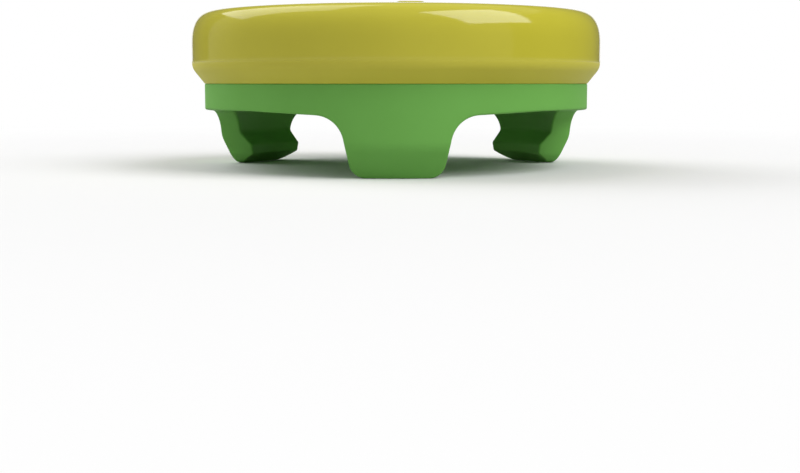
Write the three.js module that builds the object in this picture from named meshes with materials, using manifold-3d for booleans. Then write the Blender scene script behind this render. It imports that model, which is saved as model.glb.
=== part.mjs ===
// A clip-on thumb grip for the stick of a game controller: a soft dished pad on a hard clip base
// whose three hooked prongs hold it under the head of the stick.
// Millimetres, +Z up. The origin is on the grip's axis, in the plane of the prong tips, and the
// front prong points along -Y.
import * as THREE from "three";
import { mergeVertices } from "three/addons/utils/BufferGeometryUtils.js";
import Module from "manifold-3d";

const wasm = await Module();
wasm.setup();

// The stick head that the grip fits over
const stickHeadDiameter = 19.9;
const stickHeadHeight = 2.85; // from its rim down to its rounded underside
const stickDishDiameter = 11.6; // the hollow in the top of the head
const stickDishDepth = 0.75;
const socketClearance = 0.15; // between the head and the prongs, on the radius
const dishClearance = 0.2; // between the boss and the hollow, on the radius and in depth
const lipClearance = 0.1; // between the head's underside and the lips

// Clip base
const baseDiameter = 23.1;
const plateThickness = 0.9; // from the seam under the pad down to the seat on the stick
const skirtHeight = 1.5; // from the seam down to the skirt's edge between the prongs
const prongDrop = 5.03; // from the seam down to the prong tips
const seatFillet = 0.25; // in the corner of seat and skirt

// Prongs, seen from outside the base
const prongCount = 3;
const prongRootWidth = 6.28; // where the straight sides would meet the arch
const prongTipWidth = 4.84; // where the straight sides would meet the tip
const archSpan = 16; // the width over which the skirt's edge slopes down to one prong
const archDrop = 0.22; // how far it has sloped down at the root
const rootFillet = 1.6;
const tipRound = 0.9;

// Prongs, in section
const kneeDrop = 3.35; // from the seam down to where the outside starts to lean in
const kneeLean = 25.5; // degrees from the vertical
const kneeRound = 1.5;
const tipLand = 0.42; // thickness of the flat at the tip
const lipReach = 0.65; // how far the lip reaches in under the head
const leadInHeight = 0.64; // the slope below the lip that spreads the prongs over the head
const catchRound = 0.4; // where the socket's wall turns in to the lip
const tipEdgeRound = 0.1;
const lipEdgeRound = 0.12;

// Spigot on the base, which locates the pad
const spigotDiameter = 17.4;
const spigotHeight = 0.9;
const spigotClearance = 0.1; // on the radius and in height
const spigotEdgeRound = 0.2;

// Pad
const padDiameter = 24.56;
const bevelHeight = 0.92; // the sloped foot of the flank
const bevelRound = 0.85;
const flankHeight = 2.28; // from the seam up to where the shoulder starts
const shoulderRise = 1.84; // of the shoulder's superellipse
const shoulderInset = 1.21;
const shoulderPower = 2.46; // of that superellipse: 2 would be an ellipse
const crownHeight = 0.52; // what the top's crown would add in the middle
const crownPower = 2.2;
const dishDiameter = 16.8;
const dishDepth = 1.1; // from the crown down to the middle of the dish

// Tread: radial bars that stand in the dish, three of them reaching over its rim
const barsPerGroup = 6; // one long bar and the short ones after it
const longBarWidth = 1.5;
const shortBarWidth = 0.85;
const barInnerRadius = 3.85;
const longBarOverRim = 0.55; // how far past the dish's rim a long bar ends
const shortBarFromRim = 1.2; // how far inside the rim a short bar ends
const barHeightInMiddle = 0.45;
const barHeightAtRim = 0.055;
const treadTurn = 5.2; // degrees that the first long bar stands to the right of the front prong
const centreRingRadius = 2.45;
const centreRingWidth = 0.7;

// How finely curves are cut into straight facets
const turnSteps = 72;
const shoulderSteps = 9;
const rimSteps = 3;
const dishSteps = 8;
const bossSteps = 4;
const arcStep = 18; // degrees
const barEndSteps = 4;
const mergeDistance = 1e-4;

// Heights over the prong tips
const seamZ = prongDrop;
const seatZ = seamZ - plateThickness;
const skirtZ = seamZ - skirtHeight;
const kneeZ = seamZ - kneeDrop;
const lipTopZ = seatZ - stickHeadHeight - lipClearance;

// Radii about the grip's axis
const baseRadius = baseDiameter / 2;
const padRadius = padDiameter / 2;
const shoulderRadius = padRadius - shoulderInset;
const dishRadius = dishDiameter / 2;
const headRadius = stickHeadDiameter / 2;
const socketRadius = headRadius + socketClearance;
const lipRadius = headRadius - lipReach;
const tipOuterRadius = baseRadius - kneeZ * Math.tan(THREE.MathUtils.degToRad(kneeLean));
const tipInnerRadius = tipOuterRadius - tipLand;
const bossRadius = stickDishDiameter / 2 - dishClearance;
const bossDepth = stickDishDepth - dishClearance;
const spigotRadius = spigotDiameter / 2;
const treadBlockZ = seamZ + flankHeight; // the tread is cut from blocks that start inside the pad
const treadBlockHeight = shoulderRise + crownHeight + barHeightInMiddle;

// A closed three.js geometry as a solid that can be cut and joined
function solidOf(geometry) {
  const bare = geometry.clone();
  bare.deleteAttribute("normal");
  bare.deleteAttribute("uv");
  const merged = mergeVertices(bare, mergeDistance);
  return new wasm.Manifold(
    new wasm.Mesh({
      numProp: 3,
      vertProperties: merged.attributes.position.array,
      triVerts: new Uint32Array(merged.index.array),
    }),
  );
}

function geometryOf(solid) {
  const mesh = solid.getMesh();
  const geometry = new THREE.BufferGeometry();
  geometry.setAttribute("position", new THREE.BufferAttribute(mesh.vertProperties, 3));
  geometry.setIndex(new THREE.BufferAttribute(mesh.triVerts, 1));
  geometry.computeVertexNormals();
  return geometry;
}

// Rounds the corners of an outline. Each corner is { x, y, r }, and r = 0 keeps it sharp.
function rounded(corners, closed) {
  const points = [];
  corners.forEach(({ x, y, r = 0 }, i) => {
    const here = new THREE.Vector2(x, y);
    const isEnd = !closed && (i === 0 || i === corners.length - 1);
    if (isEnd || r === 0) {
      points.push(here);
      return;
    }
    const before = corners[(i + corners.length - 1) % corners.length];
    const after = corners[(i + 1) % corners.length];
    const back = new THREE.Vector2(before.x, before.y).sub(here).normalize();
    const ahead = new THREE.Vector2(after.x, after.y).sub(here).normalize();
    const half = back.angleTo(ahead) / 2;
    const centre = back.clone().add(ahead).setLength(r / Math.sin(half)).add(here);
    const start = back.multiplyScalar(r / Math.tan(half)).add(here).sub(centre);
    const end = ahead.multiplyScalar(r / Math.tan(half)).add(here).sub(centre);
    const turn = Math.atan2(start.cross(end), start.dot(end));
    const steps = Math.max(2, Math.ceil(THREE.MathUtils.radToDeg(Math.abs(turn)) / arcStep));
    for (let k = 0; k <= steps; k++) {
      points.push(start.clone().rotateAround(new THREE.Vector2(), (turn * k) / steps).add(centre));
    }
  });
  return points;
}

// Turns a profile of (radius, height) points about the Z axis
function revolve(profile) {
  return solidOf(new THREE.LatheGeometry(profile, turnSteps).rotateX(Math.PI / 2));
}

function extrude(outline, depth) {
  return new THREE.ExtrudeGeometry(new THREE.Shape(outline), { depth, bevelEnabled: false });
}

// Copies of a solid, evenly spaced about the Z axis
function aroundAxis(solid, count) {
  const copies = Array.from({ length: count }, (_, i) => solid.rotate([0, 0, (i * 360) / count]));
  return wasm.Manifold.union(copies);
}

// The underside's boss, a shallow dome that fills the hollow in the stick's head
function bossProfile() {
  return Array.from({ length: bossSteps + 1 }, (_, i) => {
    const share = i / bossSteps;
    return new THREE.Vector2(bossRadius * share, seatZ - bossDepth * (1 - share * share));
  });
}

// Plate, skirt and the hooked wall of the prongs, before the wall is cut away between them
function baseBlank() {
  const wall = rounded(
    [
      { x: bossRadius, y: seatZ },
      { x: socketRadius, y: seatZ, r: seatFillet },
      { x: socketRadius, y: lipTopZ + (socketRadius - lipRadius), r: catchRound },
      { x: lipRadius, y: lipTopZ, r: lipEdgeRound },
      { x: lipRadius, y: leadInHeight, r: lipEdgeRound },
      { x: tipInnerRadius, y: 0, r: tipEdgeRound },
      { x: tipOuterRadius, y: 0, r: tipEdgeRound },
      { x: baseRadius, y: kneeZ, r: kneeRound },
      { x: baseRadius, y: seamZ },
      { x: spigotRadius, y: seamZ },
      { x: spigotRadius, y: seamZ + spigotHeight, r: spigotEdgeRound },
      { x: 0, y: seamZ + spigotHeight },
    ],
    false,
  );
  return revolve([...bossProfile().slice(0, -1), ...wall]);
}

// One prong's outline from outside, as a block that runs from the axis to past the skirt
function prongBlock() {
  const archHalf = archSpan / 2;
  const rootZ = skirtZ - archDrop;
  const above = skirtZ + plateThickness;
  const outline = rounded(
    [
      { x: -archHalf, y: above },
      { x: -archHalf, y: skirtZ },
      { x: -prongRootWidth / 2, y: rootZ, r: rootFillet },
      { x: -prongTipWidth / 2, y: 0, r: tipRound },
      { x: prongTipWidth / 2, y: 0, r: tipRound },
      { x: prongRootWidth / 2, y: rootZ, r: rootFillet },
      { x: archHalf, y: skirtZ },
      { x: archHalf, y: above },
    ],
    true,
  );
  return solidOf(extrude(outline, padRadius).rotateX(Math.PI / 2));
}

// What is cut from the wall: everything below the skirt's edge that isn't a prong
function gapsBetweenProngs() {
  const inside = lipRadius - lipReach;
  const band = revolve(
    [
      [inside, -tipLand],
      [padRadius, -tipLand],
      [padRadius, skirtZ],
      [inside, skirtZ],
      [inside, -tipLand],
    ].map(([r, z]) => new THREE.Vector2(r, z)),
  );
  return band.subtract(aroundAxis(prongBlock(), prongCount));
}

function clipBase() {
  return baseBlank().subtract(gapsBetweenProngs());
}

// How much of the dish's depth a point at this radius has: 1 in the middle, 0 at the rim and past it
function dishShare(radius) {
  return (1 - Math.min(1, radius / dishRadius) ** 2) ** 2;
}

function crownZ(radius) {
  return crownHeight * (1 - (radius / padRadius) ** crownPower);
}

// The pad's top from the middle to the shoulder, raised by the tread's height if asked
function topProfile(isRaised) {
  const radii = [];
  for (let i = 0; i <= dishSteps; i++) {
    radii.push(dishRadius * Math.sin((i / dishSteps) * (Math.PI / 2)));
  }
  for (let i = 1; i <= rimSteps; i++) {
    radii.push(dishRadius + ((shoulderRadius - dishRadius) * i) / rimSteps);
  }
  return radii.map((radius) => {
    const share = dishShare(radius);
    const tread = barHeightAtRim + (barHeightInMiddle - barHeightAtRim) * share;
    const plain = seamZ + flankHeight + shoulderRise + crownZ(radius) - dishDepth * share;
    return new THREE.Vector2(radius, isRaised ? plain + tread : plain);
  });
}

// The shoulder from the top down to the flank, without its first point
function shoulderProfile() {
  return Array.from({ length: shoulderSteps }, (_, i) => {
    const angle = (1 - (i + 1) / shoulderSteps) * (Math.PI / 2);
    const along = Math.max(0, Math.cos(angle)) ** (2 / shoulderPower);
    const up = Math.sin(angle) ** (2 / shoulderPower);
    const radius = shoulderRadius + shoulderInset * along;
    return new THREE.Vector2(radius, seamZ + flankHeight + shoulderRise * up + crownZ(radius));
  });
}

function padBody() {
  const recessRadius = spigotRadius + spigotClearance;
  const recessZ = seamZ + spigotHeight + spigotClearance;
  const foot = rounded(
    [
      { x: padRadius, y: seamZ + flankHeight },
      { x: padRadius, y: seamZ + bevelHeight, r: bevelRound },
      { x: baseRadius, y: seamZ },
      { x: recessRadius, y: seamZ },
      { x: recessRadius, y: recessZ, r: spigotEdgeRound },
      { x: 0, y: recessZ },
    ],
    false,
  );
  const profile = [...topProfile(false), ...shoulderProfile(), ...foot.slice(1)];
  return revolve(profile.reverse());
}

// A bar of the tread, a stadium in plan that lies along -Y
function treadBar(width, outerRadius) {
  const half = width / 2;
  const outline = [];
  for (const [y, from] of [
    [half - outerRadius, Math.PI],
    [-half - barInnerRadius, 0],
  ]) {
    for (let k = 0; k <= barEndSteps; k++) {
      const angle = from + (Math.PI * k) / barEndSteps;
      outline.push(new THREE.Vector2(half * Math.cos(angle), y + half * Math.sin(angle)));
    }
  }
  return solidOf(extrude(outline, treadBlockHeight).translate(0, 0, treadBlockZ));
}

function centreRing() {
  const inner = centreRingRadius - centreRingWidth / 2;
  const outer = centreRingRadius + centreRingWidth / 2;
  const corners = [
    [inner, treadBlockZ],
    [outer, treadBlockZ],
    [outer, treadBlockZ + treadBlockHeight],
    [inner, treadBlockZ + treadBlockHeight],
    [inner, treadBlockZ],
  ];
  return revolve(corners.map(([r, z]) => new THREE.Vector2(r, z)));
}

// All bars and the ring, cut to the raised surface that their tops follow
function tread() {
  const longBar = treadBar(longBarWidth, dishRadius + longBarOverRim);
  const shortBar = treadBar(shortBarWidth, dishRadius - shortBarFromRim);
  const pitch = 360 / (prongCount * barsPerGroup);
  const group = [longBar];
  for (let i = 1; i < barsPerGroup; i++) {
    group.push(shortBar.rotate([0, 0, i * pitch]));
  }
  const bars = aroundAxis(wasm.Manifold.union(group), prongCount).rotate([0, 0, treadTurn]);
  const below = [
    new THREE.Vector2(shoulderRadius, treadBlockZ),
    new THREE.Vector2(0, treadBlockZ),
  ];
  const tops = revolve([...topProfile(true), ...below].reverse());
  return wasm.Manifold.union([bars, centreRing()]).intersect(tops);
}

function thumbPad() {
  return padBody().add(tread());
}

const softYellow = new THREE.MeshStandardMaterial({ color: 0xc4b832, roughness: 0.28, metalness: 0 });
const hardGreen = new THREE.MeshStandardMaterial({ color: 0x66a84c, roughness: 0.45, metalness: 0 });

const grip = new THREE.Group();
for (const [name, solid, material] of [
  ["clip_base", clipBase(), hardGreen],
  ["thumb_pad", thumbPad(), softYellow],
]) {
  const mesh = new THREE.Mesh(geometryOf(solid), material);
  mesh.name = name;
  grip.add(mesh);
}

export default grip;
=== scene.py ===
import math

import bmesh
import bpy
import numpy as np
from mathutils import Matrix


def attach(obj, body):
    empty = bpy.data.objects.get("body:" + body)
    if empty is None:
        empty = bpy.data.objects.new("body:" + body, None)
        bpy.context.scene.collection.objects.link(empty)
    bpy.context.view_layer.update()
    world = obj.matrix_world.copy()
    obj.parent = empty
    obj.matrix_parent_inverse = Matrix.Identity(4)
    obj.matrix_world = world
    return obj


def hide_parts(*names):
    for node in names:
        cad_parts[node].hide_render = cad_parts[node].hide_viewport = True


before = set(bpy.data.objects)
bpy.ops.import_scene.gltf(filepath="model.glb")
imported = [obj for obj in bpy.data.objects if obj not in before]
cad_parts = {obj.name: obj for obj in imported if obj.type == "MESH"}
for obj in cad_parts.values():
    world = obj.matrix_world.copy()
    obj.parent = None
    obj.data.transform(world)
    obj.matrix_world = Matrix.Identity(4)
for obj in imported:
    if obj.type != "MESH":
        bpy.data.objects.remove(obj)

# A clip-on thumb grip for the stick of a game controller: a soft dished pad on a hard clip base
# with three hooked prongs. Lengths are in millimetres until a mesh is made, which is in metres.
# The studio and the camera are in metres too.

METRES_PER_MM = 0.001
MERGE_DISTANCE = 2e-7
SHARP_ANGLE = math.radians(35)

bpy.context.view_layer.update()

# Stick head that the grip fits
STICK_HEAD_RADIUS = 9.95
STICK_HEAD_HEIGHT = 2.85
STICK_DISH_RADIUS = 5.8
STICK_DISH_DEPTH = 0.75
SOCKET_CLEARANCE = 0.15
DISH_CLEARANCE = 0.2
LIP_CLEARANCE = 0.1

# Clip base
BASE_RADIUS = 11.55
PLATE_THICKNESS = 0.9
SKIRT_HEIGHT = 1.5
PRONG_DROP = 5.03
SEAT_FILLET = 0.25
BASE_TOP_ROUND = 0.08

# Prongs, seen from outside
PRONG_COUNT = 3
PRONG_ROOT_WIDTH = 6.28
PRONG_TIP_WIDTH = 4.84
ARCH_SPAN = 16
ARCH_DROP = 0.22
ROOT_FILLET = 1.6
TIP_ROUND = 0.9
EDGE_ROUND = 0.11

# Prongs, in section
KNEE_DROP = 3.35
KNEE_LEAN = math.radians(25.5)
KNEE_ROUND = 1.5
TIP_LAND = 0.42
LIP_REACH = 0.65
LEAD_IN_HEIGHT = 0.64
CATCH_ROUND = 0.4
LIP_EDGE_ROUND = 0.12

# Spigot on the base and its recess in the pad
SPIGOT_RADIUS = 8.7
SPIGOT_HEIGHT = 0.9
SPIGOT_CLEARANCE = 0.1
SPIGOT_EDGE_ROUND = 0.2

# Pad
PAD_RADIUS = 12.28
BEVEL_HEIGHT = 0.92
BEVEL_ROUND = 0.85
FOOT_ROUND = 0.08
FLANK_HEIGHT = 2.28
SHOULDER_RISE = 1.84
SHOULDER_INSET = 1.21
SHOULDER_POWER = 2.46
CROWN_HEIGHT = 0.52
CROWN_POWER = 2.2
DISH_RADIUS = 8.4
DISH_DEPTH = 1.1

# Tread: a raised ring and radial bars, whose edges rise between the two edge distances
BARS_PER_GROUP = 6
LONG_BAR_WIDTH = 1.5
SHORT_BAR_WIDTH = 0.85
BAR_INNER_RADIUS = 3.85
LONG_BAR_OVER_RIM = 0.55
SHORT_BAR_FROM_RIM = 1.2
BAR_HEIGHT_IN_MIDDLE = 0.45
BAR_HEIGHT_AT_RIM = 0.054
TREAD_TURN = math.radians(5.2)
CENTRE_RING_RADIUS = 2.45
CENTRE_RING_WIDTH = 0.7
BAR_EDGE_INSIDE = 0.12
BAR_EDGE_OUTSIDE = 0.07

# Strips of the dish, one round each bar
STRIP_FROM_RING = 0.3
STRIP_BEYOND_BAR = 0.25
LONG_BAR_EXTRA_ANGLE = math.radians(1.6)

# Heights over the prong tips
SEAM_Z = PRONG_DROP
SEAT_Z = SEAM_Z - PLATE_THICKNESS
SKIRT_Z = SEAM_Z - SKIRT_HEIGHT
KNEE_Z = SEAM_Z - KNEE_DROP
LIP_TOP_Z = SEAT_Z - STICK_HEAD_HEIGHT - LIP_CLEARANCE
SPIGOT_Z = SEAM_Z + SPIGOT_HEIGHT
RECESS_Z = SPIGOT_Z + SPIGOT_CLEARANCE
FLANK_Z = SEAM_Z + FLANK_HEIGHT
TOP_Z = FLANK_Z + SHOULDER_RISE

# Radii about the grip's axis
SOCKET_RADIUS = STICK_HEAD_RADIUS + SOCKET_CLEARANCE
LIP_RADIUS = STICK_HEAD_RADIUS - LIP_REACH
TIP_OUTER_RADIUS = BASE_RADIUS - KNEE_Z * math.tan(KNEE_LEAN)
TIP_INNER_RADIUS = TIP_OUTER_RADIUS - TIP_LAND
BOSS_RADIUS = STICK_DISH_RADIUS - DISH_CLEARANCE
BOSS_DEPTH = STICK_DISH_DEPTH - DISH_CLEARANCE
RECESS_RADIUS = SPIGOT_RADIUS + SPIGOT_CLEARANCE
SHOULDER_RADIUS = PAD_RADIUS - SHOULDER_INSET
STRIP_INNER_RADIUS = CENTRE_RING_RADIUS + CENTRE_RING_WIDTH / 2 + STRIP_FROM_RING
STRIP_OUTER_RADIUS = DISH_RADIUS + LONG_BAR_OVER_RIM + STRIP_BEYOND_BAR

# Angles about the grip's axis
HALF_SECTOR = math.pi / PRONG_COUNT
PATCH_SHARE = 0.4
PATCH_ANGLE = PATCH_SHARE * HALF_SECTOR
BAR_COUNT = PRONG_COUNT * BARS_PER_GROUP
BAR_PITCH = 2 * math.pi / BAR_COUNT

# How finely the meshes are cut
ARC_STEP = math.radians(7.5)
LEAST_ARC_STEPS = 3
SIDE_LEAST_SLOPE = math.radians(42)
OUTLINE_STEP = 0.02
WALL_STEP = 0.1
SEAT_STEP = 0.5
PLATE_STEP = 0.7
FOOT_STEP = 0.3
EDGE_STEPS = 5
TIP_COLUMNS = 22
SIDE_ROWS = 34
ARCH_COLUMNS = 26
LEVEL_COLUMNS = 14
UPPER_ROWS = 14
BAND_STEPS = 3
BOSS_STEPS = 12
BAR_SPAN_STEPS = 34
BAR_CORNER_STEPS = 6
BAR_EDGE_STEPS = 7
STRIP_COLUMNS = 16
STRIP_ROWS = 5
CENTRE_STEPS = 7
APRON_STEPS = 3
RIM_STEPS = 7
SHOULDER_ARC_STEPS = 32
SHOULDER_ROWS = 30
EDGE_DISTANCES = np.linspace(-BAR_EDGE_INSIDE, BAR_EDGE_OUTSIDE, BAR_EDGE_STEPS + 1)

# Moulded materials, with colours in sRGB steps from 0 to 255
YELLOW_DARK = (195, 187, 54)
YELLOW_LIGHT = (199, 191, 58)
YELLOW_ROUGHNESS = (0.07, 0.1)
YELLOW_SPECULAR = 0.5
YELLOW_GRAIN = 0.03
GREEN_DARK = (112, 176, 81)
GREEN_LIGHT = (116, 181, 85)
GREEN_ROUGHNESS = (0.58, 0.66)
GREEN_SPECULAR = 0.15
GREEN_GRAIN = 0.1
CLOUD_SCALE = 220
CLOUD_DETAIL = 3
PATCH_SCALE = 600
PATCH_DETAIL = 4
PORE_SCALE = 9000
PORE_DETAIL = 2
PORE_DEPTH = 0.00002
NOISE_LOW = 0.3
NOISE_HIGH = 0.7

# Matte foot of the pad. Its top and its blend are in metres.
MATTE_ROUGHNESS = 0.6
MATTE_ABOVE_BEVEL = 0.45
MATTE_TOP = (SEAM_Z + BEVEL_HEIGHT + MATTE_ABOVE_BEVEL) * METRES_PER_MM
MATTE_BLEND = 0.0003

# Light of the room, and the cosines between which each lit part of it fades in
ROOM_LEVEL = 0.12
PANEL_LEVEL = 0.38
PANEL_AZIMUTH = math.radians(210.5)
PANEL_EDGE = (-0.11, -0.08)
CEILING_LEVEL = 0.48
CEILING_EDGE = (0.66, 0.70)
BACKDROP_LEVEL = 1.0
BACKDROP_EDGE = (0.943, 0.951)

# Lamps
LAMP_DISTANCE = 0.6
KEY_LEVEL = 4.35
RIM_LEVEL = 1.9
FILL_LEVEL = 2.4

# Floor, which clears to white away from the grip
FLOOR_HALF_WIDTH = 3.0
FLOOR_ROUGHNESS = 0.9
FLOOR_SPECULAR = 0.1
FLOOR_SEEN = 0.78
FLOOR_BOUNCE = 0.55
FLOOR_CLEAR_FROM = 0.022
FLOOR_CLEAR_TO = 0.08

# Camera
CAMERA_AZIMUTH = math.radians(0.36)
CAMERA_DISTANCE = 0.080
CAMERA_ABOVE_SEAM = 0.000045
CAMERA_TILT = math.radians(6.73)
CAMERA_PAN = math.radians(0.17)
CAMERA_LENS = 58.58
CAMERA_SENSOR = 36
CAMERA_CLIP_START = 0.005


# Paths and grids of points

def rounded(corners):
    """The outline through corners (x, y, radius), with each corner but the ends rounded."""
    points = [np.array(corners[0][:2], float)]
    for before, here, after in zip(corners, corners[1:], corners[2:]):
        corner = np.array(here[:2], float)
        radius = here[2]
        if radius == 0:
            points.append(corner)
            continue
        back = np.array(before[:2]) - corner
        ahead = np.array(after[:2]) - corner
        back = back / np.linalg.norm(back)
        ahead = ahead / np.linalg.norm(ahead)
        half = math.acos(np.clip(back @ ahead, -1, 1)) / 2
        towards = (back + ahead) / np.linalg.norm(back + ahead)
        centre = corner + towards * radius / math.sin(half)
        start = corner + back * radius / math.tan(half) - centre
        end = corner + ahead * radius / math.tan(half) - centre
        turn = math.atan2(start[0] * end[1] - start[1] * end[0], start @ end)
        steps = max(LEAST_ARC_STEPS, math.ceil(abs(turn) / ARC_STEP))
        for angle in np.linspace(0, turn, steps + 1):
            cos, sin = math.cos(angle), math.sin(angle)
            offset = (start[0] * cos - start[1] * sin, start[0] * sin + start[1] * cos)
            points.append(centre + offset)
    points.append(np.array(corners[-1][:2], float))
    return np.array(points)


def lengths_along(points):
    steps = np.linalg.norm(np.diff(points, axis=0), axis=1)
    return np.concatenate([[0], np.cumsum(steps)])


def resampled(points, count):
    """The same path in count equal steps."""
    along = lengths_along(points)
    wanted = np.linspace(0, along[-1], count + 1)
    return np.stack([np.interp(wanted, along, points[:, i]) for i in range(points.shape[1])], 1)


def subdivided(points, longest):
    """The same path with its long straight runs cut into steps no longer than asked."""
    parts = [points[:1]]
    for start, end in zip(points, points[1:]):
        count = max(1, math.ceil(np.linalg.norm(end - start) / longest))
        parts.append(start + (end - start) * (np.arange(1, count + 1) / count)[:, None])
    return np.concatenate(parts)


def straight(start, end, count):
    shares = np.linspace(0, 1, count + 1)[:, None]
    return np.asarray(start, float) * (1 - shares) + np.asarray(end, float) * shares


def coons(bottom, top, left, right):
    """A grid over the four-sided patch between four paths, rows from bottom to top."""
    u = np.linspace(0, 1, len(bottom))[None, :, None]
    v = np.linspace(0, 1, len(left))[:, None, None]
    across = (1 - v) * bottom[None] + v * top[None]
    along = (1 - u) * left[:, None] + u * right[:, None]
    low_corners = (1 - u) * bottom[0] + u * bottom[-1]
    high_corners = (1 - u) * top[0] + u * top[-1]
    return across + along - ((1 - v) * low_corners + v * high_corners)


def turned(points, angle):
    cos, sin = math.cos(angle), math.sin(angle)
    x = points[..., 0] * cos - points[..., 1] * sin
    y = points[..., 0] * sin + points[..., 1] * cos
    return np.stack([x, y, points[..., 2]], -1)


def mirrored(points):
    return points * np.array([-1, 1, 1])


def swept(profile, angles):
    """A grid of profile points (radius, height) at each angle from the -Y direction."""
    radius = profile[:, 0][:, None]
    height = np.broadcast_to(profile[:, 1][:, None], (len(profile), len(angles)))
    return np.stack([radius * np.sin(angles), -radius * np.cos(angles), height], -1)


class MeshParts:
    """Collects grids of points and joins them into one mesh."""

    def __init__(self):
        self.points = []
        self.faces = []
        self.count = 0

    def add_grid(self, grid):
        rows, columns = grid.shape[:2]
        index = self.count + np.arange(rows * columns).reshape(rows, columns)
        quads = np.stack([index[:-1, :-1], index[:-1, 1:], index[1:, 1:], index[1:, :-1]], -1)
        self.faces.extend(quads.reshape(-1, 4).tolist())
        self.points.append(grid.reshape(-1, 3))
        self.count += rows * columns

    def to_object(self, name):
        mesh = bpy.data.meshes.new(name)
        points = np.concatenate(self.points) * METRES_PER_MM
        mesh.from_pydata(points.tolist(), [], self.faces)
        piece = bpy.data.objects.new(name, mesh)
        bpy.context.scene.collection.objects.link(piece)
        clean(mesh)
        mesh.shade_smooth()
        mesh.set_sharp_from_angle(angle=SHARP_ANGLE)
        return piece


def clean(mesh):
    """Joins the seams between grids, drops what has no area and turns all faces outward."""
    whole = bmesh.new()
    whole.from_mesh(mesh)
    bmesh.ops.remove_doubles(whole, verts=whole.verts, dist=MERGE_DISTANCE)
    bmesh.ops.dissolve_degenerate(whole, edges=whole.edges, dist=MERGE_DISTANCE)
    bmesh.ops.recalc_face_normals(whole, faces=whole.faces)
    whole.to_mesh(mesh)
    whole.free()


# Clip base

class Wall:
    """The outer or inner face of the clip's wall: a profile turned about the axis."""

    def __init__(self, profile, facing):
        self.profile = profile
        self.along = lengths_along(profile)
        steps = np.gradient(profile, self.along, axis=0)
        steps = steps / np.linalg.norm(steps, axis=1)[:, None]
        self.normals = np.stack([steps[:, 1], -steps[:, 0]], 1) * facing

    def length_at(self, z):
        return np.interp(z, self.profile[:, 1], self.along)

    def radius_at(self, z):
        return np.interp(z, self.profile[:, 1], self.profile[:, 0])

    def normal_at(self, z):
        radial = np.interp(z, self.profile[:, 1], self.normals[:, 0])
        upward = np.interp(z, self.profile[:, 1], self.normals[:, 1])
        size = np.hypot(radial, upward)
        return radial / size, upward / size

    def place(self, flat):
        """Points in space for a grid of (angle, length along the profile)."""
        angle, along = flat[..., 0], flat[..., 1]
        radius = np.interp(along, self.along, self.profile[:, 0])
        height = np.interp(along, self.along, self.profile[:, 1])
        return np.stack([radius * np.sin(angle), -radius * np.cos(angle), height], -1)

    def flatten(self, points):
        angle = np.arctan2(points[:, 0], -points[:, 1])
        return np.stack([angle, self.length_at(points[:, 2])], 1)


def outer_wall():
    profile = rounded(
        [
            (TIP_OUTER_RADIUS, 0, 0),
            (BASE_RADIUS, KNEE_Z, KNEE_ROUND),
            (BASE_RADIUS, SEAM_Z - BASE_TOP_ROUND, 0),
        ]
    )
    return Wall(subdivided(profile, WALL_STEP), 1)


def inner_wall():
    catch_z = LIP_TOP_Z + SOCKET_RADIUS - LIP_RADIUS
    profile = rounded(
        [
            (TIP_INNER_RADIUS, 0, 0),
            (LIP_RADIUS, LEAD_IN_HEIGHT, LIP_EDGE_ROUND),
            (LIP_RADIUS, LIP_TOP_Z, LIP_EDGE_ROUND),
            (SOCKET_RADIUS, catch_z, CATCH_ROUND),
            (SOCKET_RADIUS, SEAT_Z - SEAT_FILLET, 0),
        ]
    )
    return Wall(subdivided(profile, WALL_STEP), -1)


def prong_outline():
    """Half of a prong's outline, from the middle of its tip to where the skirt's edge is level."""
    return rounded(
        [
            (0, 0, 0),
            (PRONG_TIP_WIDTH / 2, 0, TIP_ROUND),
            (PRONG_ROOT_WIDTH / 2, SKIRT_Z - ARCH_DROP, ROOT_FILLET),
            (ARCH_SPAN / 2, SKIRT_Z, 0),
        ]
    )


def cut_path():
    """The prong's outline in even steps along its tip, side and arch, which meet in the middle
    of the rounded corners."""
    outline = prong_outline()
    steps = np.diff(outline, axis=0)
    steep = steps[:, 1] > steps[:, 0] * math.tan(SIDE_LEAST_SLOPE)
    side_start = int(np.argmax(steep))
    side_end = side_start + int(np.argmin(steep[side_start:]))
    tip = outline[: side_start + 1]
    side = outline[side_start : side_end + 1]
    arch = outline[side_end:]
    parts = [
        resampled(subdivided(part, OUTLINE_STEP), count)
        for part, count in ((tip, TIP_COLUMNS), (side, SIDE_ROWS), (arch, ARCH_COLUMNS))
    ]
    return np.concatenate([parts[0], parts[1][1:], parts[2][1:]])


def cut_normals(path):
    """Where the cut face looks at each point of the path and of the level skirt's edge."""
    along = np.gradient(path, axis=0)
    along[0] = (1, 0)
    along = np.concatenate([along, np.tile([1.0, 0.0], (LEVEL_COLUMNS, 1))])
    along = along / np.linalg.norm(along, axis=1)[:, None]
    return np.stack([along[:, 1], np.zeros(len(along)), -along[:, 0]], 1)


def edge_points(wall, path):
    """Points on the wall's edge for path points (x, z), then along the level skirt's edge."""
    x, z = path[:, 0], path[:, 1]
    radius = wall.radius_at(z)
    level = np.linspace(0, 1, LEVEL_COLUMNS + 1)[1:]
    skirt_radius = wall.radius_at(SKIRT_Z)
    level_x = x[-1] + (skirt_radius * math.sin(HALF_SECTOR) - x[-1]) * level
    x = np.concatenate([x, level_x])
    z = np.concatenate([z, np.full(LEVEL_COLUMNS, SKIRT_Z)])
    radius = np.concatenate([radius, np.full(LEVEL_COLUMNS, skirt_radius)])
    return np.stack([x, -np.sqrt(radius**2 - x**2), z], 1)


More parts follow.
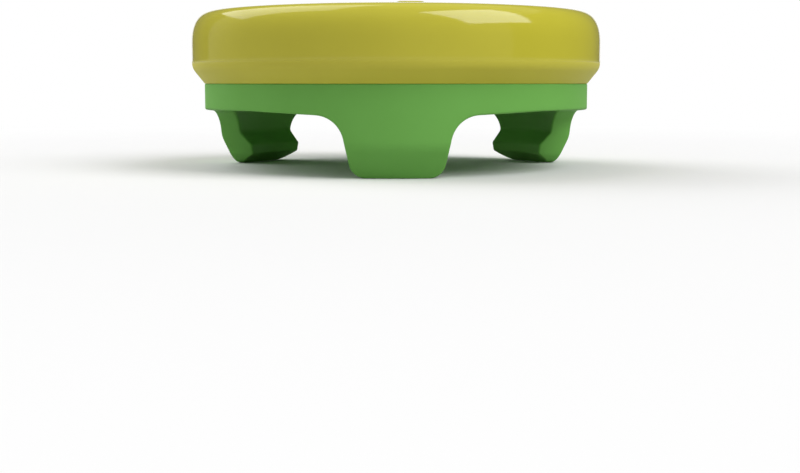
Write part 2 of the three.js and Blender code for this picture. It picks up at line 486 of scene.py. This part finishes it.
def edge_round(wall, edge, cut_normal):
    """Rounds the edge between the wall and the face that cuts it, one row for each step.
    The first row lies on the wall, and none is lower than the prong tips."""
    radial, upward = wall.normal_at(edge[:, 2])
    radius = np.hypot(edge[:, 0], edge[:, 1])
    wall_normal = np.stack([radial * edge[:, 0] / radius, radial * edge[:, 1] / radius, upward], 1)
    cosine = np.sum(wall_normal * cut_normal, axis=1)[:, None]
    centre = edge - EDGE_ROUND * (wall_normal + cut_normal) / (1 + cosine)
    between = np.arccos(np.clip(cosine, -1, 1))
    rows = []
    for share in np.linspace(0, 1, EDGE_STEPS + 1):
        mix = np.sin((1 - share) * between) * wall_normal + np.sin(share * between) * cut_normal
        rows.append(centre + EDGE_ROUND * mix / np.sin(between))
    rows[0] = wall.place(wall.flatten(rows[0]))
    rows = np.array(rows)
    rows[..., 2] = np.maximum(rows[..., 2], 0)
    return rows


def wall_grids(wall, edge):
    """The wall from its lower edge to its top, in three four-sided patches."""
    flat = wall.flatten(edge)
    top = wall.along[-1]
    tip = flat[: TIP_COLUMNS + 1]
    side = flat[TIP_COLUMNS : TIP_COLUMNS + SIDE_ROWS + 1]
    arch = flat[TIP_COLUMNS + SIDE_ROWS :]
    root = side[-1]
    middle = straight((0, root[1]), root, TIP_COLUMNS)
    spread = (side[:, 1] - side[0, 1]) / (side[-1, 1] - side[0, 1])
    left = np.stack([np.zeros(len(side)), tip[0, 1] + (root[1] - tip[0, 1]) * spread], 1)
    prong = coons(tip, middle, left, side)
    seam_left = straight((0, top), (PATCH_ANGLE, top), TIP_COLUMNS)
    seam_right = straight((PATCH_ANGLE, top), (HALF_SECTOR, top), ARCH_COLUMNS + LEVEL_COLUMNS)
    divide = straight(root, (PATCH_ANGLE, top), UPPER_ROWS)
    above = coons(middle, seam_left, straight((0, root[1]), (0, top), UPPER_ROWS), divide)
    beside = coons(arch, seam_right, divide, straight(arch[-1], (HALF_SECTOR, top), UPPER_ROWS))
    return [wall.place(grid) for grid in (prong, above, beside)]


def half_sector_grids():
    """Both walls and the cut face with its rounded edges, from a prong's middle to a gap's."""
    path = cut_path()
    normals = cut_normals(path)
    grids = []
    rounds = []
    for wall in (outer_wall(), inner_wall()):
        rows = edge_round(wall, edge_points(wall, path), normals)
        grids.extend(wall_grids(wall, rows[0]))
        rounds.append(rows)
    outer, inner = rounds
    shares = np.linspace(0, 1, BAND_STEPS + 1)[:, None, None]
    face = outer[-1] * (1 - shares) + inner[-1] * shares
    grids.append(np.concatenate([outer[:-1], face, inner[::-1][1:]]))
    return grids


def sector_angles():
    """The angles of one prong's sector, at the columns of the wall's grids."""
    left = np.linspace(0, PATCH_ANGLE, TIP_COLUMNS + 1)
    right = np.linspace(PATCH_ANGLE, HALF_SECTOR, ARCH_COLUMNS + LEVEL_COLUMNS + 1)
    half = np.concatenate([left, right[1:]])
    return np.concatenate([-half[::-1], half[1:]])


def seat_profile():
    corners = [
        (SOCKET_RADIUS, SEAT_Z - SEAT_FILLET, 0),
        (SOCKET_RADIUS, SEAT_Z, SEAT_FILLET),
        (BOSS_RADIUS, SEAT_Z, 0),
    ]
    return subdivided(rounded(corners), SEAT_STEP)


def boss_profile():
    shares = np.linspace(0, 1, BOSS_STEPS + 1)
    return np.stack([BOSS_RADIUS * shares, SEAT_Z - BOSS_DEPTH * (1 - shares**2)], 1)


def plate_profile():
    """The top of the base: its rounded edge, the face under the pad and the spigot."""
    corners = [
        (BASE_RADIUS, SEAM_Z - BASE_TOP_ROUND, 0),
        (BASE_RADIUS, SEAM_Z, BASE_TOP_ROUND),
        (SPIGOT_RADIUS, SEAM_Z, 0),
        (SPIGOT_RADIUS, SPIGOT_Z, SPIGOT_EDGE_ROUND),
        (0, SPIGOT_Z, 0),
    ]
    return subdivided(rounded(corners), PLATE_STEP)


def clip_ring():
    parts = MeshParts()
    for grid in half_sector_grids():
        for i in range(PRONG_COUNT):
            parts.add_grid(turned(grid, 2 * i * HALF_SECTOR))
            parts.add_grid(turned(mirrored(grid), 2 * i * HALF_SECTOR))
    for profile in (seat_profile(), boss_profile(), plate_profile()):
        sector = swept(profile, sector_angles())
        for i in range(PRONG_COUNT):
            parts.add_grid(turned(sector, 2 * i * HALF_SECTOR))
    return parts.to_object("clip_ring")


# Pad

def dish_share(radius):
    return (1 - np.minimum(1, radius / DISH_RADIUS) ** 2) ** 2


def crown_z(radius):
    return CROWN_HEIGHT * (1 - (radius / PAD_RADIUS) ** CROWN_POWER)


def top_z(radius):
    """The pad's top surface under the tread."""
    return TOP_Z + crown_z(radius) - DISH_DEPTH * dish_share(radius)


def tread_height(radius):
    return BAR_HEIGHT_AT_RIM + (BAR_HEIGHT_IN_MIDDLE - BAR_HEIGHT_AT_RIM) * dish_share(radius)


def edge_share(distance):
    """How much of the tread's height a point has at this distance outside the bar's outline."""
    along = np.clip((BAR_EDGE_OUTSIDE - distance) / (BAR_EDGE_OUTSIDE + BAR_EDGE_INSIDE), 0, 1)
    return along**2 * (3 - 2 * along)


def raised(flat, shares, turn):
    """Points (x, y) of the dish lifted by a share of the tread's height, and turned into place."""
    radius = np.hypot(flat[..., 0], flat[..., 1])
    z = top_z(radius) + tread_height(radius) * shares
    return turned(np.concatenate([flat, z[..., None]], -1), turn)


def bar_sides(half_width, outer_radius, distance):
    """Four paths round a bar that lies along -Y, at a distance from its outline: its inner end,
    right side, outer end and left side."""
    reach = half_width + distance
    inner_y = -(BAR_INNER_RADIUS + half_width)
    outer_y = -(outer_radius - half_width)
    eighth = math.pi / 4

    def arc(y, start, turn, steps):
        angles = start - np.linspace(0, turn, steps + 1)
        return np.stack([reach * np.cos(angles), y + reach * np.sin(angles)], 1)

    inner_end = arc(inner_y, 3 * eighth, 2 * eighth, STRIP_COLUMNS)
    outer_end = arc(outer_y, -eighth, 2 * eighth, STRIP_COLUMNS)
    inner_corner = arc(inner_y, eighth, eighth, BAR_CORNER_STEPS)
    outer_corner = arc(outer_y, 0, eighth, BAR_CORNER_STEPS)
    right = resampled(np.concatenate([inner_corner, outer_corner]), BAR_SPAN_STEPS)
    left = right[::-1] * np.array([-1, 1])
    return inner_end, right, outer_end, left


def joined(paths):
    return np.concatenate([paths[0]] + [path[1:] for path in paths[1:]])


def strip_border(angles):
    """The border of a bar's strip, from its inner left corner on."""
    arc = np.stack([np.sin(angles), -np.cos(angles)], 1)
    inner = STRIP_INNER_RADIUS * arc
    outer = STRIP_OUTER_RADIUS * arc[::-1]
    right = straight(inner[-1], outer[0], BAR_SPAN_STEPS)
    left = straight(outer[-1], inner[0], BAR_SPAN_STEPS)
    return joined([inner, right, outer, left])


def add_bar(parts, half_width, outer_radius, turn, angles):
    """One bar with the strip of the dish round it, as rings that run out from the bar."""
    rings = [joined(bar_sides(half_width, outer_radius, distance)) for distance in EDGE_DISTANCES]
    last = rings[-1]
    border = strip_border(angles)
    for share in np.linspace(0, 1, STRIP_ROWS + 1)[1:]:
        rings.append(last + (border - last) * share)
    shares = np.concatenate([edge_share(EDGE_DISTANCES), np.zeros(STRIP_ROWS)])[:, None]
    parts.add_grid(raised(np.array(rings), shares, turn))

    inner, right, outer, left = bar_sides(half_width, outer_radius, EDGE_DISTANCES[0])
    top = coons(inner, outer[::-1], left[::-1], right)
    parts.add_grid(raised(top, np.ones(top.shape[:2]), turn))


def strip_angles(long_bars, i):
    """The angles across a bar's strip. A long bar takes some width from its neighbours."""
    before = long_bars[i - 1] - long_bars[i]
    after = long_bars[i] - long_bars[(i + 1) % BAR_COUNT]
    low = -BAR_PITCH / 2 + before * LONG_BAR_EXTRA_ANGLE
    high = BAR_PITCH / 2 + after * LONG_BAR_EXTRA_ANGLE
    return np.linspace(low, high, STRIP_COLUMNS + 1)


def centre_profile():
    """From the middle of the dish out over the raised ring to where the bars' strips start."""
    half = CENTRE_RING_WIDTH / 2
    inner_foot = CENTRE_RING_RADIUS - half
    outer_foot = CENTRE_RING_RADIUS + half
    hollow = np.linspace(0, inner_foot - BAR_EDGE_OUTSIDE, CENTRE_STEPS + 1)
    apron = np.linspace(outer_foot + BAR_EDGE_OUTSIDE, STRIP_INNER_RADIUS, APRON_STEPS + 1)
    inner_edge = inner_foot - EDGE_DISTANCES[::-1]
    outer_edge = outer_foot + EDGE_DISTANCES
    radii = np.concatenate([hollow[:-1], inner_edge, [CENTRE_RING_RADIUS], outer_edge, apron[1:]])
    distance = np.abs(radii - CENTRE_RING_RADIUS) - half
    return np.stack([radii, top_z(radii) + tread_height(radii) * edge_share(distance)], 1)


def shoulder_profile():
    """From the strips' outer edge over the rim and down the rounded shoulder."""
    rim_radii = np.linspace(STRIP_OUTER_RADIUS, SHOULDER_RADIUS, RIM_STEPS + 1)
    rim = np.stack([rim_radii, top_z(rim_radii)], 1)
    angles = np.linspace(math.pi / 2, 0, SHOULDER_ARC_STEPS + 1)[1:]
    inset = SHOULDER_INSET * np.maximum(0, np.cos(angles)) ** (2 / SHOULDER_POWER)
    rise = SHOULDER_RISE * np.sin(angles) ** (2 / SHOULDER_POWER)
    radii = SHOULDER_RADIUS + inset
    arc = np.stack([radii, FLANK_Z + rise + crown_z(radii)], 1)
    shoulder = resampled(np.concatenate([rim[-1:], arc]), SHOULDER_ROWS)
    return np.concatenate([rim, shoulder[1:]])


def foot_profile():
    """Down the flank and the sloped foot, under the pad and into its recess."""
    corners = [
        (PAD_RADIUS, FLANK_Z, 0),
        (PAD_RADIUS, SEAM_Z + BEVEL_HEIGHT, BEVEL_ROUND),
        (BASE_RADIUS, SEAM_Z, FOOT_ROUND),
        (RECESS_RADIUS, SEAM_Z, 0),
        (RECESS_RADIUS, RECESS_Z, SPIGOT_EDGE_ROUND),
        (0, RECESS_Z, 0),
    ]
    return subdivided(rounded(corners), FOOT_STEP)


def soft_pad():
    parts = MeshParts()
    long_bars = [i % BARS_PER_GROUP == 0 for i in range(BAR_COUNT)]
    columns = []
    for i, is_long in enumerate(long_bars):
        half_width = (LONG_BAR_WIDTH if is_long else SHORT_BAR_WIDTH) / 2
        outer_radius = DISH_RADIUS + (LONG_BAR_OVER_RIM if is_long else -SHORT_BAR_FROM_RIM)
        turn = TREAD_TURN + i * BAR_PITCH
        angles = strip_angles(long_bars, i)
        add_bar(parts, half_width, outer_radius, turn, angles)
        columns.append(turn + angles[:-1])
    angles = np.concatenate(columns)
    angles = np.append(angles, angles[0] + 2 * math.pi)
    parts.add_grid(swept(centre_profile(), angles))
    parts.add_grid(swept(np.concatenate([shoulder_profile(), foot_profile()[1:]]), angles))
    return parts.to_object("soft_pad")


# Materials

def new_material(name):
    material = bpy.data.materials.new(name)
    material.use_nodes = True
    nodes = material.node_tree.nodes
    return material, nodes, material.node_tree.links, nodes["Principled BSDF"]


def linear(colour):
    """A colour given in sRGB steps from 0 to 255, as Blender's linear values with alpha."""
    shares = [value / 255 for value in colour]
    return (*[s / 12.92 if s <= 0.04045 else ((s + 0.055) / 1.055) ** 2.4 for s in shares], 1)


def add_noise(nodes, links, scale, detail):
    coordinates = nodes.new("ShaderNodeTexCoord")
    noise = nodes.new("ShaderNodeTexNoise")
    noise.inputs["Scale"].default_value = scale
    noise.inputs["Detail"].default_value = detail
    links.new(coordinates.outputs["Object"], noise.inputs["Vector"])
    return noise.outputs["Fac"]


def add_range(nodes, links, noise, low, high):
    """A noise stretched to run from low to high."""
    mapped = nodes.new("ShaderNodeMapRange")
    mapped.inputs["From Min"].default_value = NOISE_LOW
    mapped.inputs["From Max"].default_value = NOISE_HIGH
    mapped.inputs["To Min"].default_value = low
    mapped.inputs["To Max"].default_value = high
    links.new(noise, mapped.inputs["Value"])
    return mapped.outputs["Result"]


def add_fade(nodes, links, value, start, end):
    """A share that goes smoothly from 0 to 1 as the value goes from start to end."""
    fade = nodes.new("ShaderNodeMapRange")
    fade.interpolation_type = "SMOOTHSTEP"
    fade.inputs["From Min"].default_value = start
    fade.inputs["From Max"].default_value = end
    links.new(value, fade.inputs["Value"])
    return fade.outputs["Result"]


def add_mix(nodes, links, kind, share, first, second):
    """A mix of two values or colours, each either a constant or a socket."""
    mix = nodes.new("ShaderNodeMix")
    mix.data_type = kind
    for socket, value in ((mix.inputs["A"], first), (mix.inputs["B"], second)):
        if isinstance(value, bpy.types.NodeSocket):
            links.new(value, socket)
        else:
            socket.default_value = value
    links.new(share, mix.inputs["Factor"])
    return mix.outputs["Result"]


def add_math(nodes, links, operation, first, second):
    result = nodes.new("ShaderNodeMath")
    result.operation = operation
    links.new(first, result.inputs[0])
    links.new(second, result.inputs[1])
    return result.outputs["Value"]


def add_matte_foot(nodes, links, gloss):
    """Blends a roughness into the matte one of the pad's foot."""
    coordinates = nodes.new("ShaderNodeTexCoord")
    split = nodes.new("ShaderNodeSeparateXYZ")
    links.new(coordinates.outputs["Object"], split.inputs["Vector"])
    share = add_fade(nodes, links, split.outputs["Z"], MATTE_TOP, MATTE_TOP - MATTE_BLEND)
    return add_mix(nodes, links, "FLOAT", share, gloss, MATTE_ROUGHNESS)


def moulded(name, dark, light, roughness, specular, grain, matte_foot):
    """A moulded plastic or rubber: cloudy colour, uneven gloss and a fine grain."""
    material, nodes, links, shader = new_material(name)
    shader.inputs["Specular IOR Level"].default_value = specular
    clouds = add_range(nodes, links, add_noise(nodes, links, CLOUD_SCALE, CLOUD_DETAIL), 0, 1)
    colour = add_mix(nodes, links, "RGBA", clouds, linear(dark), linear(light))
    links.new(colour, shader.inputs["Base Color"])

    gloss = add_range(nodes, links, add_noise(nodes, links, PATCH_SCALE, PATCH_DETAIL), *roughness)
    if matte_foot:
        gloss = add_matte_foot(nodes, links, gloss)
    links.new(gloss, shader.inputs["Roughness"])

    bump = nodes.new("ShaderNodeBump")
    bump.inputs["Strength"].default_value = grain
    bump.inputs["Distance"].default_value = PORE_DEPTH
    links.new(add_noise(nodes, links, PORE_SCALE, PORE_DETAIL), bump.inputs["Height"])
    links.new(bump.outputs["Normal"], shader.inputs["Normal"])
    return material


def yellow_rubber():
    return moulded(
        "soft_yellow",
        YELLOW_DARK,
        YELLOW_LIGHT,
        YELLOW_ROUGHNESS,
        YELLOW_SPECULAR,
        YELLOW_GRAIN,
        matte_foot=True,
    )


def green_plastic():
    return moulded(
        "hard_green",
        GREEN_DARK,
        GREEN_LIGHT,
        GREEN_ROUGHNESS,
        GREEN_SPECULAR,
        GREEN_GRAIN,
        matte_foot=False,
    )


def floor_material():
    """Pale and plain. Seen or reflected, it clears to white away from the grip."""
    material, nodes, links, shader = new_material("floor")
    shader.inputs["Roughness"].default_value = FLOOR_ROUGHNESS
    shader.inputs["Specular IOR Level"].default_value = FLOOR_SPECULAR
    path = nodes.new("ShaderNodeLightPath").outputs
    shown = path["Is Camera Ray"]
    for ray in ("Is Glossy Ray", "Is Transmission Ray"):
        shown = add_math(nodes, links, "MAXIMUM", shown, path[ray])
    bounce = (FLOOR_BOUNCE, FLOOR_BOUNCE, FLOOR_BOUNCE, 1)
    seen = (FLOOR_SEEN, FLOOR_SEEN, FLOOR_SEEN, 1)
    links.new(add_mix(nodes, links, "RGBA", shown, bounce, seen), shader.inputs["Base Color"])

    place = nodes.new("ShaderNodeNewGeometry").outputs["Position"]
    distance = nodes.new("ShaderNodeVectorMath")
    distance.operation = "LENGTH"
    links.new(place, distance.inputs[0])
    clear = add_fade(nodes, links, distance.outputs["Value"], FLOOR_CLEAR_FROM, FLOOR_CLEAR_TO)
    white = nodes.new("ShaderNodeEmission")
    blend = nodes.new("ShaderNodeMixShader")
    links.new(add_math(nodes, links, "MULTIPLY", clear, shown), blend.inputs["Fac"])
    links.new(shader.outputs["BSDF"], blend.inputs[1])
    links.new(white.outputs["Emission"], blend.inputs[2])
    links.new(blend.outputs["Shader"], nodes["Material Output"].inputs["Surface"])
    return material


# Studio

def floor():
    half = FLOOR_HALF_WIDTH
    mesh = bpy.data.meshes.new("floor")
    corners = [(-half, -half, 0), (half, -half, 0), (half, half, 0), (-half, half, 0)]
    mesh.from_pydata(corners, [], [(0, 1, 2, 3)])
    mesh.materials.append(floor_material())
    ground = bpy.data.objects.new("floor", mesh)
    bpy.context.scene.collection.objects.link(ground)


def room():
    """A dim room with a panel round its front, a lit ceiling and a white backdrop."""
    studio = bpy.data.worlds.new("studio")
    bpy.context.scene.world = studio
    studio.use_nodes = True
    nodes, links = studio.node_tree.nodes, studio.node_tree.links
    direction = nodes.new("ShaderNodeTexCoord").outputs["Generated"]

    def towards(middle, edge):
        dot = nodes.new("ShaderNodeVectorMath")
        dot.operation = "DOT_PRODUCT"
        dot.inputs[1].default_value = middle
        links.new(direction, dot.inputs[0])
        return add_fade(nodes, links, dot.outputs["Value"], *edge)

    panel = towards((math.sin(PANEL_AZIMUTH), math.cos(PANEL_AZIMUTH), 0), PANEL_EDGE)
    ceiling = towards((0, 0, 1), CEILING_EDGE)
    backdrop = towards((0, 1, 0), BACKDROP_EDGE)
    level = add_mix(nodes, links, "FLOAT", panel, ROOM_LEVEL, PANEL_LEVEL)
    level = add_mix(nodes, links, "FLOAT", ceiling, level, CEILING_LEVEL)
    level = add_mix(nodes, links, "FLOAT", backdrop, level, BACKDROP_LEVEL)
    nodes["Background"].inputs["Color"].default_value = (1, 1, 1, 1)
    links.new(level, nodes["Background"].inputs["Strength"])


def softbox(name, azimuth, elevation, width, height, radiance):
    """An area lamp that faces the grip. Azimuth is from +Y towards +X, in degrees."""
    azimuth, elevation = math.radians(azimuth), math.radians(elevation)
    lamp = bpy.data.lights.new(name, "AREA")
    lamp.shape = "RECTANGLE"
    lamp.size = width
    lamp.size_y = height
    lamp.energy = radiance * math.pi * width * height
    holder = bpy.data.objects.new(name, lamp)
    bpy.context.scene.collection.objects.link(holder)
    holder.location = (
        LAMP_DISTANCE * math.cos(elevation) * math.sin(azimuth),
        LAMP_DISTANCE * math.cos(elevation) * math.cos(azimuth),
        LAMP_DISTANCE * math.sin(elevation),
    )
    holder.rotation_euler = (math.pi / 2 - elevation, 0, math.pi - azimuth)
    holder.visible_camera = False
    return holder


def lamps():
    """A key from the right, and a rim and a side fill from the left. The fill isn't reflected."""
    softbox("key_softbox", azimuth=118.5, elevation=47.5, width=0.44, height=0.46, radiance=KEY_LEVEL)
    softbox("rim_softbox", azimuth=-57, elevation=53, width=0.42, height=0.5, radiance=RIM_LEVEL)
    fill = softbox("fill_softbox", azimuth=-56, elevation=24, width=0.5, height=0.4, radiance=FILL_LEVEL)
    fill.visible_glossy = False


def camera():
    """A camera level with the seam, aimed below it, so that the grip is high in the picture."""
    lens = bpy.data.cameras.new("camera")
    holder = bpy.data.objects.new("camera", lens)
    bpy.context.scene.collection.objects.link(holder)
    bpy.context.scene.camera = holder
    lens.sensor_width = CAMERA_SENSOR
    lens.lens = CAMERA_LENS
    lens.clip_start = CAMERA_CLIP_START
    holder.location = (
        -CAMERA_DISTANCE * math.sin(CAMERA_AZIMUTH),
        -CAMERA_DISTANCE * math.cos(CAMERA_AZIMUTH),
        SEAM_Z * METRES_PER_MM + CAMERA_ABOVE_SEAM,
    )
    holder.rotation_euler = (math.pi / 2 - CAMERA_TILT, 0, -CAMERA_AZIMUTH - CAMERA_PAN)


def dress(piece, material, node):
    """Puts a piece in the place of a CAD part that doesn't move."""
    piece.data.materials.append(material)
    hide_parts(node)
    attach(piece, "root")


dress(soft_pad(), yellow_rubber(), "thumb_pad")
dress(clip_ring(), green_plastic(), "clip_base")
camera()
floor()
room()
lamps()
bpy.context.scene.view_settings.view_transform = "Standard"
